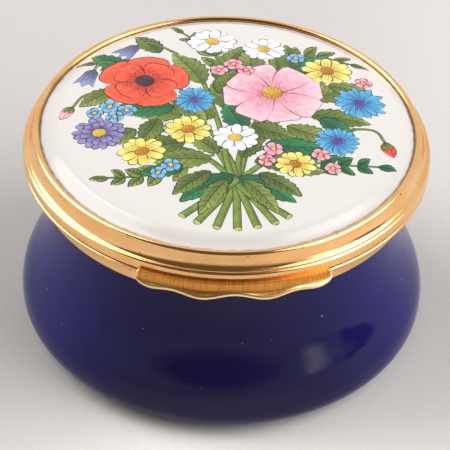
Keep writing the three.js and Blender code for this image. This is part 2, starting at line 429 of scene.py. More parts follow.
def plaque_mesh(art, turns=180):
    """The lid's enamel: its top carries the picture as coloured faces, cut to the shapes' own outlines."""
    top, under = plaque_sections()
    radii, heights = np.array(top).T
    edge = PLAQUE_EDGE[0]
    plan, triangles, owners = picture_plan(art, ring_points(radii, turns))
    reach = np.hypot(plan[:, 0], plan[:, 1])
    vertices = [(x, y, h) for (x, y), h in zip(plan, np.interp(reach, radii, heights))]
    steep = -np.interp(reach, radii, np.gradient(heights, radii)) / np.maximum(reach, 1e-9)
    normals = np.stack([steep * plan[:, 0], steep * plan[:, 1], np.ones(len(plan))], axis=1)
    tones, chart, polygons = [], [], list(triangles)
    for triangle, owner in zip(triangles, owners):
        paint = art.paints[owner] if owner >= 0 else flat(GROUND)
        for v in triangle:
            x, y = plan[v]
            tones.append((*paint(x / PICTURE_SCALE, (y - PICTURE_SHIFT) / PICTURE_SCALE), 1.0))
            chart.append((0.43 + 0.42 * x / edge, 0.43 + 0.42 * y / edge))

    # the underside hangs from the top's outermost ring
    rim = [(math.cos(a), math.sin(a)) for a in np.linspace(0, 2 * math.pi, turns, endpoint=False)]
    previous = [int(np.argmin((plan[:, 0] - edge * c) ** 2 + (plan[:, 1] - edge * s) ** 2)) for c, s in rim]
    for r, h in under:
        first = len(vertices)
        if r < 1e-6:
            vertices.append((0, 0, h))
            current = [first] * turns
        else:
            vertices += [(r * c, r * s, h) for c, s in rim]
            current = list(range(first, first + turns))
        for i in range(turns):
            j = (i + 1) % turns
            face = [previous[i], current[i], current[j], previous[j]]
            if current[i] == current[j]:
                face = face[:2] + face[3:]
            polygons.append(face)
            for v in face:
                tones.append((*GROUND, 1.0))
                chart.append((0.925 + 0.068 * vertices[v][0] / edge, 0.925 + 0.068 * vertices[v][1] / edge))
        previous = current

    mesh = bpy.data.meshes.new("lid_enamel")
    mesh.from_pydata([(x * MM, y * MM, h * MM) for x, y, h in vertices], [], polygons)
    paint_layer = mesh.color_attributes.new("paint", "FLOAT_COLOR", "CORNER")
    paint_layer.data.foreach_set("color", np.array(tones, np.float32).ravel())
    chart_layer = mesh.uv_layers.new(name="OFBake")
    chart_layer.data.foreach_set("uv", np.array(chart, np.float32).ravel())
    mesh.update()
    crease_at(mesh, 35)
    corner_normals = []
    for polygon in mesh.polygons:
        painted = polygon.index < len(triangles)
        for v in polygon.vertices:
            corner_normals.append(tuple(Vector(normals[v]).normalized() if painted else polygon.normal))
    mesh.normals_split_custom_set(corner_normals)
    return add_object("lid_enamel", mesh)


def scallop(bearing):
    """Share of the thumb-piece's flare kept at a bearing, eased from one lobe or notch to the next."""
    b = abs(bearing)
    for (b0, s0), (b1, s1) in zip(THUMB_SCALLOPS, THUMB_SCALLOPS[1:]):
        if b <= b1 + 1e-9:
            return s0 + (s1 - s0) * (1 - math.cos(math.pi * (b - b0) / (b1 - b0))) / 2
    return THUMB_SCALLOPS[-1][1]


def rounded_end(bearing, width):
    """1 along the lift, falling to 0 at each end as a quarter round of this width in degrees."""
    t = max(0.0, (abs(bearing) - THUMB_SPAN + width) / width)
    return math.sqrt(max(0.0, 1 - t * t))


def thumb_mesh():
    """The lift: a sheet that flares outwards to a thick rounded lip, with a rolled edge at each end."""
    inner = RIM_RADIUS - 0.03
    front = RIM_RADIUS + 0.2 + THUMB_SHEET
    turn_r = front + THUMB_FLARE
    turn_z = THUMB_TOP - THUMB_UPRIGHT
    middle = THUMB_FLARE + THUMB_SHEET / 2
    bm = bmesh.new()
    lips = bm.verts.layers.float.new("lip")
    loops = []
    for bearing in THUMB_SPAN * np.sin(np.linspace(-math.pi / 2, math.pi / 2, 301)):
        stop = 180 + 90 * scallop(bearing) * (0.375 + 0.625 * rounded_end(bearing, THUMB_END_TURN))
        end = math.exp(-(((THUMB_SPAN - abs(bearing)) / 0.75) ** 2))
        swell = 0.6 + 0.4 * rounded_end(bearing, THUMB_END_SWELL)
        crest = THUMB_TOP - 0.35 * (1 - rounded_end(bearing, THUMB_END_CREST))
        lip_r = turn_r + middle * math.cos(math.radians(stop))
        lip_z = turn_z + middle * math.sin(math.radians(stop))
        lip = arc(lip_r, lip_z, THUMB_LIP * swell, stop + 215, stop - 40, 18)
        turn = math.radians(stop)
        fall = crest - 0.16 - lip[0][1]
        face = sweep(
            (front - 0.12 + 0.16 * end * swell, crest - 0.16),
            (front - 0.02 + 0.16 * end * swell, crest - 0.16 - 0.59 * fall),
            (lip[0][0] + 0.4 * fall * math.sin(turn), lip[0][1] - 0.4 * fall * math.cos(turn)),
            lip[0],
            12,
        )
        back = arc(turn_r, turn_z, THUMB_FLARE + THUMB_SHEET, max(stop - 22, 183), 180, 10)
        top = [(inner, turn_z), (inner, crest - 0.04), (front - 0.4, crest), (front - 0.2, crest - 0.04)]
        section = [*((p, end) for p in face[:-1]), *((p, 1.0) for p in lip), *((p, 0.0) for p in back + top)]
        a = math.radians(bearing)
        loop = []
        for (r, z), lipped in section:
            v = bm.verts.new((r * math.sin(a), -r * math.cos(a), z))
            v[lips] = lipped
            loop.append(v)
        loops.append(loop)
    for low, high in zip(loops, loops[1:]):
        for i in range(len(low)):
            j = (i + 1) % len(low)
            bm.faces.new((low[i], low[j], high[j], high[i]))
    bm.faces.new(loops[0])
    bm.faces.new(loops[-1][::-1])
    return bm


# The hinge

def knuckle_centres(of_lid):
    """Middles along X of the knuckles of one mount, in turn along the pin."""
    return [(i - (KNUCKLE_COUNT - 1) / 2) * KNUCKLE_PITCH for i in range(KNUCKLE_COUNT) if i % 2 == of_lid]


def barrel(x, length, radius):
    """A solid round bar along X about the hinge's axis."""
    bm = bmesh.new()
    place = Matrix.Translation((x, HINGE_AXIS, JOINT_HEIGHT)) @ Matrix.Rotation(math.pi / 2, 4, "Y")
    bmesh.ops.create_cone(
        bm, cap_ends=True, segments=48, radius1=radius, radius2=radius, depth=length, matrix=place
    )
    return bm


def block(bm, x, half, y0, y1, z0, z1):
    """Adds a square-edged bar about x."""
    made = bmesh.ops.create_cube(bm, size=1)["verts"]
    size = (2 * half, y1 - y0, z1 - z0)
    middle = (x, (y0 + y1) / 2, (z0 + z1) / 2)
    bmesh.ops.scale(bm, vec=size, verts=made)
    bmesh.ops.translate(bm, vec=middle, verts=made)


def cut(obj, cutters):
    """Takes the cutters away from an object."""
    for cutter in cutters:
        modifier = obj.modifiers.new("cut", "BOOLEAN")
        modifier.operation = "DIFFERENCE"
        modifier.solver = "EXACT"
        modifier.object = cutter
    settle(obj)
    for cutter in cutters:
        bpy.data.objects.remove(cutter)


def settle(obj):
    """Keeps what the modifiers make as the object's own mesh."""
    view = bpy.context.evaluated_depsgraph_get()
    mesh = bpy.data.meshes.new_from_object(obj.evaluated_get(view))
    obj.modifiers.clear()
    obj.data = mesh


def join(name, parts):
    """One object from several, at the origin."""
    bm = bmesh.new()
    for part in parts:
        bm.from_mesh(part.data)
        bpy.data.objects.remove(part)
    mesh = bpy.data.meshes.new(name)
    bm.to_mesh(mesh)
    bm.free()
    crease_at(mesh, 32)
    return add_object(name, mesh)


def knuckle_tree():
    """Nodes that set turned knuckles with eased ends along the pin."""
    tree = bpy.data.node_groups.new("knuckles", "GeometryNodeTree")
    face = tree.interface
    face.new_socket("Geometry", in_out="OUTPUT", socket_type="NodeSocketGeometry")
    face.new_socket("Count", in_out="INPUT", socket_type="NodeSocketInt")
    for name in ("First", "Spacing", "Length", "Radius", "Bore", "Easing"):
        face.new_socket(name, in_out="INPUT", socket_type="NodeSocketFloat")
    face.new_socket("Axis", in_out="INPUT", socket_type="NodeSocketVector")
    face.new_socket("Material", in_out="INPUT", socket_type="NodeSocketMaterial")

    def node(kind, settings=None, values=None):
        made = tree.nodes.new(kind)
        for key, value in (settings or {}).items():
            setattr(made, key, value)
        for key, value in (values or {}).items():
            if hasattr(value, "is_output"):
                tree.links.new(value, made.inputs[key])
            else:
                made.inputs[key].default_value = value
        return made

    def maths(operation, a, b):
        return node("ShaderNodeMath", {"operation": operation}, {0: a, 1: b}).outputs[0]

    given = node("NodeGroupInput").outputs
    thickness = maths("SUBTRACT", given["Radius"], given["Bore"])
    middle = maths("MULTIPLY", maths("ADD", given["Radius"], given["Bore"]), 0.5)
    ring = node("GeometryNodeCurvePrimitiveCircle", {}, {"Resolution": 48, "Radius": middle})
    section = node(
        "GeometryNodeCurvePrimitiveQuadrilateral",
        {},
        {"Width": thickness, "Height": given["Length"]},
    )
    eased = node(
        "GeometryNodeFilletCurve",
        {"mode": "POLY"},
        {"Curve": section.outputs[0], "Count": 4, "Radius": given["Easing"]},
    )
    tube = node("GeometryNodeCurveToMesh", {}, {"Curve": ring.outputs[0], "Profile Curve": eased.outputs[0]})
    smooth = node("GeometryNodeSetShadeSmooth", {}, {"Geometry": tube.outputs[0]})
    first = node("ShaderNodeCombineXYZ", {}, {"X": given["First"]})
    start = node("ShaderNodeVectorMath", {"operation": "ADD"}, {0: given["Axis"], 1: first.outputs[0]})
    step = node("ShaderNodeCombineXYZ", {}, {"X": given["Spacing"]})
    row = node(
        "GeometryNodeMeshLine",
        {"mode": "OFFSET"},
        {"Count": given["Count"], "Start Location": start.outputs[0], "Offset": step.outputs[0]},
    )
    quarter = node("FunctionNodeAxisAngleToRotation", {}, {"Axis": (0, 1, 0), "Angle": math.pi / 2})
    placed = node(
        "GeometryNodeInstanceOnPoints",
        {},
        {"Points": row.outputs[0], "Instance": smooth.outputs[0], "Rotation": quarter.outputs[0]},
    )
    real = node("GeometryNodeRealizeInstances", {}, {"Geometry": placed.outputs[0]})
    dressed = node(
        "GeometryNodeSetMaterial",
        {},
        {"Geometry": real.outputs[0], "Material": given["Material"]},
    )
    end = tree.nodes.new("NodeGroupOutput")
    tree.links.new(dressed.outputs[0], end.inputs[0])
    return tree


def knuckles(name, tree, of_lid, material):
    """One mount's row of knuckles as a plain mesh."""
    centres = knuckle_centres(of_lid)
    obj = add_object(name, bpy.data.meshes.new(name))
    modifier = obj.modifiers.new("knuckles", "NODES")
    modifier.node_group = tree
    values = {
        "Count": len(centres),
        "First": centres[0] * MM,
        "Spacing": 2 * KNUCKLE_PITCH * MM,
        "Length": KNUCKLE_LENGTH * MM,
        "Radius": KNUCKLE_RADIUS * MM,
        "Bore": (PIN_RADIUS + PIN_PLAY) * MM,
        "Easing": 0.07 * MM,
        "Axis": (0, HINGE_AXIS * MM, JOINT_HEIGHT * MM),
        "Material": material,
    }
    for item in tree.interface.items_tree:
        if item.in_out == "INPUT":
            modifier[item.identifier] = values[item.name]
    settle(obj)
    return obj


def mount(name, ring, of_lid, tree, material):
    """A mount with its ring cleared for the other mount's knuckles and its own knuckles soldered on."""
    length, reach = KNUCKLE_LENGTH + 2 * CLEARANCE, KNUCKLE_RADIUS + CLEARANCE
    cut(ring, [finish_mesh("clearance", barrel(x, length, reach)) for x in knuckle_centres(not of_lid)])
    webs = bmesh.new()
    low, high = (0.5, WEB_HEIGHT) if of_lid else (-WEB_HEIGHT, -0.5)
    foot = JOINT_HEIGHT + (0.15 if of_lid else -0.5)
    for x in knuckle_centres(of_lid):
        half = KNUCKLE_LENGTH / 2 - 0.02
        block(webs, x, half, WEB_ROOT, HINGE_AXIS + 0.1, JOINT_HEIGHT + low, JOINT_HEIGHT + high)
        block(webs, x, half - 0.01, WEB_ROOT, HINGE_AXIS - 0.62, foot, foot + 0.35)
    web = finish_mesh("web", webs)
    cut(web, [finish_mesh("bore", barrel(0, HINGE_WIDTH + 2, KNUCKLE_RADIUS - 0.1))])
    return join(name, [ring, web, knuckles(name + " knuckles", tree, of_lid, material)])


def pin_mesh():
    """A plain wire with its ends lightly rounded over."""
    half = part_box("hinge_pin")[1][0] / MM
    ends = [(0, -half), *arc(PIN_RADIUS - 0.12, -half + 0.12, 0.12, -90, 0, 4)]
    other = [(r, -z) for r, z in reversed(ends)]
    bm = turned(ends + other, False, 48)
    place = Matrix.Translation((0, HINGE_AXIS, JOINT_HEIGHT)) @ Matrix.Rotation(math.pi / 2, 4, "Y")
    bmesh.ops.transform(bm, matrix=place, verts=bm.verts)
    return bm


# The lid's picture: flat shapes laid over one another, as an enameller fills a printed outline

def unit(v):
    return v / max(np.linalg.norm(v), 1e-9)


def headings(line):
    """At each point of a line, its direction and the direction to its left."""
    run = np.gradient(line, axis=0)
    run /= np.maximum(np.linalg.norm(run, axis=1, keepdims=True), 1e-9)
    return run, np.stack([-run[:, 1], run[:, 0]], axis=1)


def band(line, side, left, right):
    """The closed outline between a line's offsets to its left and to its right."""
    return np.concatenate([line + side * left, (line - side * right)[::-1]])


class Picture:
    """Shapes in plan, in millimetres, later ones over earlier ones."""

    def __init__(self, seed):
        self.shapes = []
        self.paints = []
        self.chance = np.random.default_rng(seed)

    def fill(self, outline, paint):
        if len(outline) > 2:
            self.shapes.append([(float(x), float(y)) for x, y in outline])
            self.paints.append(paint)

    def stroke(self, points, width, ink, tip=0.25):
        """A pen line that swells in the middle."""
        p = np.asarray(points, float)
        if len(p) > 7:
            p = np.concatenate([p[:-1:2], p[-1:]])
        t = np.linspace(0, 1, len(p))[:, None]
        half = width / 2 * (tip + (1 - tip) * np.sin(np.pi * t) ** 0.6)
        self.fill(band(p, headings(p)[1], half, half), flat(ink))

    def shape(self, outline, paint, ink, line=0.13):
        """A filled shape with a hand-drawn outline of uneven weight."""
        p = np.asarray(outline, float)
        after, before = np.roll(p, -1, axis=0), np.roll(p, 1, axis=0)
        run = after - before
        run /= np.maximum(np.linalg.norm(run, axis=1, keepdims=True), 1e-9)
        out = np.stack([run[:, 1], -run[:, 0]], axis=1)
        area = np.sum(p[:, 0] * after[:, 1] - after[:, 0] * p[:, 1])
        sign = 1 if area > 0 else -1
        phase = self.chance.uniform(0, 6.3)
        weight = line * (0.85 + 0.6 * np.sin(np.linspace(0, 4 * np.pi, len(p)) + phase))[:, None]
        self.fill(p + out * sign * weight, flat(ink))
        self.fill(p, paint)


def flat(tone):
    """Paint of one tone."""
    return lambda x, y: tone


def blend_tones(a, b, t):
    """A tone that lies a share t of the way from a to b."""
    t = min(max(t, 0.0), 1.0)
    return tuple(u + (v - u) * t for u, v in zip(a, b))


def graded(a, b, start, end):
    """Paint that passes from tone a at one point to tone b at another."""
    dx, dy = end[0] - start[0], end[1] - start[1]
    size = max(dx * dx + dy * dy, 1e-9)
    return lambda x, y: blend_tones(a, b, ((x - start[0]) * dx + (y - start[1]) * dy) / size)


def midline(x, y, angle, length, bend, steps):
    """Points along a blade's middle, its heading turning steadily by bend; angles in degrees."""
    t = np.linspace(0, 1, steps + 1)
    a = np.radians(angle + bend * t)
    step = length / steps
    px = x + np.concatenate([[0], np.cumsum(np.cos(a[:-1]) * step)])
    py = y + np.concatenate([[0], np.cumsum(np.sin(a[:-1]) * step)])
    return np.stack([px, py], axis=1), np.stack([-np.sin(a), np.cos(a)], axis=1)


def blade(x, y, angle, length, half, form, bend=0.0, teeth=0, steps=18):
    """Outline of a leaf or petal; form gives the half width from its foot 0 to its tip 1."""
    middle, side = midline(x, y, angle, length, bend, steps)
    t = np.linspace(0, 1, steps + 1)
    width = np.array([form(v) for v in t]) * half
    if teeth:
        width = width * (0.8 + 0.32 * ((t * teeth) % 1.0))
    if form(0) < 0.2:
        width[0] = min(width[0], half * 0.12)
    width = width[:, None]
    return band(middle, side, width, width), middle, side, width


def leaf_form(t):
    """A leaf's half width from its foot 0 to its tip 1."""
    return math.sin(math.pi * t**0.8) ** 0.85 if t < 1 else 0.0


def petal_like(foot, widest, rise, blunt, fall):
    """The form of a petal: its width at the foot, where it is widest, and how blunt its end is."""
    def form(t):
        if t < widest:
            return foot + (1 - foot) * math.sin(math.pi / 2 * t / widest) ** rise
        return blunt + (1 - blunt) * math.sqrt(max(1 - ((t - widest) / (1 - widest)) ** fall, 0))

    return form


petal_form = petal_like(0.16, 0.72, 1.3, 0.1, 2)
ray_form = petal_like(0.35, 0.6, 1, 0, 2.5)
broad_form = petal_like(0.14, 0.8, 1.2, 0.78, 2)


def circle(x, y, across, up, count):
    """Points of a circle or an upright oval."""
    angles = np.linspace(0, 2 * math.pi, count, endpoint=False)
    return [(x + across * math.cos(t), y + up * math.sin(t)) for t in angles]


def draw_leaf(art, x, y, angle, length, half, tones, bend=0.0, teeth=0, veins=5):
    """A toothed or plain leaf with its shaded half, its veins and pen hatching."""
    steps = 24 if teeth else 16
    outline, middle, side, width = blade(x, y, angle, length, half, leaf_form, bend, teeth, steps)
    tip = middle[-1]
    art.shape(outline, graded(tones[0], tones[1], (x, y), tip), INK, 0.13)
    dark, light = blend_tones(tones[0], INK, 0.12), blend_tones(tones[0], tones[1], 0.55)
    art.fill(band(middle, side, 0, width * 0.92), graded(dark, light, (x, y), tip))
    art.stroke(middle[:-2], 0.14, INK)
    count = len(middle)
    for i in range(2, count - 3):
        run = unit(middle[i + 1] - middle[i])
        reach = art.chance.uniform(0.5, 0.95)
        foot = middle[i] - side[i] * width[i] * (1 - reach) * 0.4
        art.stroke([foot, foot - side[i] * width[i] * reach * 0.6 + run * width[i] * 0.4], 0.075, INK, 0.5)
        if i % 2 and i < count * 0.7:
            lean = side[i] * width[i] * art.chance.uniform(0.2, 0.42) + run * width[i] * 0.3
            art.stroke([middle[i], middle[i] + lean], 0.06, INK, 0.5)
    for i in range(1, veins + 1):
        at = int(count * (0.08 + 0.78 * i / (veins + 1)))
        run = unit(middle[min(at + 1, count - 1)] - middle[at])
        for turn in (1, -1):
            end = middle[at] + side[at] * turn * width[at] * 0.78 + run * width[at] * 0.8
            mid = (middle[at] + end) / 2 + run * width[at] * -0.06
            art.stroke([middle[at], mid, end], 0.09, blend_tones(INK, tones[0], 0.15), 0.5)


def draw_stem(art, points, start, end):
    """A stalk through the given points, from one width to another, shaded down one side; a thick one is
    hatched and shows its cut end."""
    p = smooth_line(points, 24)
    run, side = headings(p)
    half = np.linspace(start, end, len(p))[:, None] / 2
    art.fill(band(p, side, half + 0.1, half + 0.1), flat(INK))
    art.fill(band(p, side, half, half), flat(STALK))
    art.fill(band(p, side, -half * 0.35, half * 0.95), flat(blend_tones(STALK, INK, 0.35)))
    if start < 0.6:
        return
    for i in range(1, len(p) - 2):
        foot = p[i] - side[i] * half[i] * 0.95
        lean = side[i] * half[i] * art.chance.uniform(0.5, 1.3) + run[i] * 0.2
        art.stroke([foot, foot + lean], 0.06, INK, 0.5)
    round_about = np.linspace(0, 2 * math.pi, 14, endpoint=False)[:, None]
    cut_end = p[0] + side[0] * np.cos(round_about) * start * 0.52 + run[0] * np.sin(round_about) * start * 0.3
    art.shape(cut_end, flat(blend_tones(STALK, CUT_STALK, 0.45)), INK, 0.08)


def smooth_line(points, steps):
    """A smooth run through two or more points."""
    p = np.asarray(points, float)
    if len(p) == 2:
        return p[0] + (p[1] - p[0]) * np.linspace(0, 1, steps + 1)[:, None]
    ext = np.concatenate([[2 * p[0] - p[1]], p, [2 * p[-1] - p[-2]]])
    out = []
    per = max(steps // (len(p) - 1), 2)
    for i in range(1, len(ext) - 2):
        a, b, c, d = ext[i - 1:i + 3]
        squared, cubed = 2 * a - 5 * b + 4 * c - d, 3 * b - a - 3 * c + d
        for t in np.linspace(0, 1, per, endpoint=False):
            out.append(0.5 * (2 * b + (c - a) * t + squared * t**2 + cubed * t**3))
    out.append(p[-1])
    return np.array(out)


def draw_petals(art, x, y, count, reach, half, tones, form, ink, turn=0.0, squash=1.0, hatch=4, inner=0.0):
    """A ring of petals, each shaded from its foot and hatched with fine lines."""
    order = list(range(0, count, 2)) + list(range(1, count, 2))
    for i in order:
        angle = turn + 360 * i / count + art.chance.uniform(-4, 4)
        a = math.radians(angle)
        stretch = reach * (1 - (1 - squash) * abs(math.sin(a))) * art.chance.uniform(0.94, 1.05)
        fx, fy = x + inner * math.cos(a), y + inner * math.sin(a) * squash
        bend = art.chance.uniform(-12, 12)
        outline, middle, side, width = blade(fx, fy, angle, stretch - inner, half, form, bend, 0, 14)
        art.shape(outline, graded(tones[0], tones[1], (fx, fy), middle[-1]), ink, 0.115)
        for j in range(hatch):
            k = (j + 0.5) / hatch * 2 - 1
            last = int(len(middle) * art.chance.uniform(0.5, 0.8))
            line = middle[1:last] + side[1:last] * width[1:last] * k * 0.72
            art.stroke(line, 0.06, blend_tones(ink, tones[0], 0.35), 0.3)


def draw_dots(art, x, y, inner, outer, count, size, tone):
    """Dots spread evenly between two radii, each turned on from the last by the golden angle."""
    for i in range(count):
        a = 2.399963 * i
        r = inner + (outer - inner) * math.sqrt((i + 0.5) / count)
        s = size * art.chance.uniform(0.75, 1.25)
        art.fill(circle(x + r * math.cos(a), y + r * math.sin(a), s, s, 5), flat(tone))


def draw_disc(art, x, y, radius, tones, ink, squash=1.0):
    """The heart of a flower, lighter on one side."""
    rim = circle(x, y, radius, radius * squash, 24)
    shine = graded(tones[1], tones[0], (x - radius, y + radius), (x + radius * 0.6, y - radius))
    art.shape(rim, shine, ink, 0.09)


def draw_anemone(art, x, y, reach):
    """A large red head with a dark heart."""
    bright, deep = srgb(238, 96, 66), srgb(52, 22, 26)
    outer, inner = (srgb(206, 44, 30), bright), (srgb(188, 34, 26), bright)
    draw_petals(art, x, y, 5, reach, reach * 0.46, outer, petal_form, deep, 8, 0.94, 6)
    draw_petals(art, x, y, 4, reach * 0.74, reach * 0.36, inner, petal_form, deep, 50, 0.94, 5)
    draw_disc(art, x, y, reach * 0.2, (deep, srgb(70, 50, 66)), deep)
    draw_dots(art, x, y, reach * 0.24, reach * 0.4, 26, 0.13, deep)


def draw_cosmos(art, x, y, reach):
    """A large pink head with eight broad petals."""
    rose, pale, ink = srgb(228, 128, 158), srgb(246, 196, 208), srgb(110, 52, 66)
    draw_petals(art, x, y, 8, reach, reach * 0.34, (rose, pale), broad_form, ink, 12, 0.92, 5)
    draw_disc(art, x, y, reach * 0.2, (srgb(176, 126, 30), srgb(222, 184, 74)), srgb(90, 62, 24))
    draw_dots(art, x, y, 0, reach * 0.17, 22, 0.11, srgb(120, 82, 26))
    draw_dots(art, x, y, reach * 0.23, reach * 0.31, 26, 0.1, srgb(150, 104, 34))


def draw_daisy(art, x, y, reach, tones, heart, count=13, turn=0.0, squash=0.9):
    """A head of narrow petals round a broad heart."""
    ink = srgb(74, 62, 40) if tones[0][2] < 0.5 else srgb(70, 72, 84)
    draw_petals(art, x, y, count, reach, reach * 0.2, tones, ray_form, ink, turn, squash, 2, reach * 0.12)
    draw_disc(art, x, y, reach * 0.27, heart, srgb(84, 56, 22), squash)
    draw_dots(art, x, y, 0, reach * 0.22, 12, 0.09, blend_tones(heart[0], INK, 0.5))


def draw_cornflower(art, x, y, reach, turn=0.0):
    """A ragged blue head of three-lobed florets."""
    deep, light, ink = srgb(32, 96, 164), srgb(96, 180, 224), srgb(26, 44, 84)
    for i in range(11):
        angle = turn + 360 * i / 11 + art.chance.uniform(-5, 5)
        for lobe in (-17, 0, 17):
            length = reach * (0.96 if lobe == 0 else 0.86) * art.chance.uniform(0.9, 1.05)
            half = reach * 0.12
            outline, middle, _, _ = blade(x, y, angle + lobe, length, half, ray_form, lobe * 0.5, 0, 9)
            art.shape(outline, graded(deep, light, (x, y), middle[-1]), ink, 0.075)
    for i in range(16):
        a = 2.4 * i
        r = reach * 0.34 * math.sqrt((i + 1) / 16)
        line = smooth_line([(x, y), (x + r * math.cos(a), y + r * math.sin(a))], 4)
        art.stroke(line, 0.16, srgb(88, 62, 138), 0.6)


def draw_aster(art, x, y, reach):
    """A violet head with two rings of narrow petals."""
    tones, ink, inner = (srgb(84, 72, 128), srgb(152, 146, 194)), srgb(44, 38, 72), reach * 0.15
    draw_petals(art, x, y, 17, reach, reach * 0.14, tones, ray_form, ink, 5, 0.92, 1, inner)
    draw_petals(art, x, y, 12, reach * 0.7, reach * 0.12, tones, ray_form, ink, 16, 0.92, 1, inner)
    draw_disc(art, x, y, reach * 0.24, (srgb(196, 150, 36), srgb(236, 206, 96)), srgb(90, 62, 24), 0.92)
    draw_dots(art, x, y, 0, reach * 0.2, 12, 0.09, srgb(126, 88, 28))


def draw_bell(art, x, y, angle, length, tones, ink):
    """A hanging bell with three pointed lobes."""
    a = math.radians(angle)
    along, across = np.array([math.cos(a), math.sin(a)]), np.array([-math.sin(a), math.cos(a)])
    half = length * 0.34
    flank = [(0, 0.25), (0.15, 0.7), (0.45, 0.86), (0.8, 1.12), (1.08, 1.3), (0.9, 0.75), (0.84, 0.5)]
    marks = [*flank, (1.12, 0.02), *((u, -v) for u, v in flank[::-1])]
    foot = np.array([x, y])
    outline = [foot + along * u * length + across * v * half for u, v in marks]
    art.shape(outline, graded(tones[0], tones[1], (x, y), outline[7]), ink, 0.1)
    for k in (-0.55, 0.0, 0.55):
        spread = [(u, k * (0.5 + u * 0.7)) for u in (0.08, 0.4, 0.75)]
        art.stroke([foot + along * u * length + across * v * half for u, v in spread], 0.08, ink, 0.4)


def draw_bud(art, x, y, angle, length, tones, ink):
    """A closed bud in its green cup."""
    outline, middle, side, width = blade(x, y, angle, length, length * 0.3, leaf_form, 0, 0, 12)
    art.shape(outline, graded(tones[0], tones[1], (x, y), middle[-1]), ink, 0.1)
    art.stroke(middle[2:-1] + side[2:-1] * width[2:-1] * 0.25, 0.09, ink, 0.4)
    for turn in (-26, 26):
        cup, m, _, _ = blade(x, y, angle + turn, length * 0.5, length * 0.13, leaf_form, -turn, 0, 8)
        art.shape(cup, graded(MOSS[0], MOSS[1], (x, y), m[-1]), INK, 0.08)


def draw_spray(art, points, pairs, length, half, tones, teeth=0):
    """A stalk with pairs of leaflets that grow smaller to the tip."""
    line = smooth_line(points, 30)
    draw_stem(art, points, 0.3, 0.16)
    for i in range(pairs):
        at = int(len(line) * (0.25 + 0.7 * i / pairs))
        run = line[min(at + 1, len(line) - 1)] - line[at - 1]
        angle = math.degrees(math.atan2(run[1], run[0]))
        size = 1.05 - 0.5 * i / pairs
        for turn in (46, -46):
            draw_leaf(art, *line[at], angle + turn, length * size, half * size, tones, -turn * 0.3, teeth, 3)
    run = line[-1] - line[-3]
    angle = math.degrees(math.atan2(run[1], run[0]))
    draw_leaf(art, *line[-1], angle, length * 0.7, half * 0.6, tones, 0, teeth, 3)


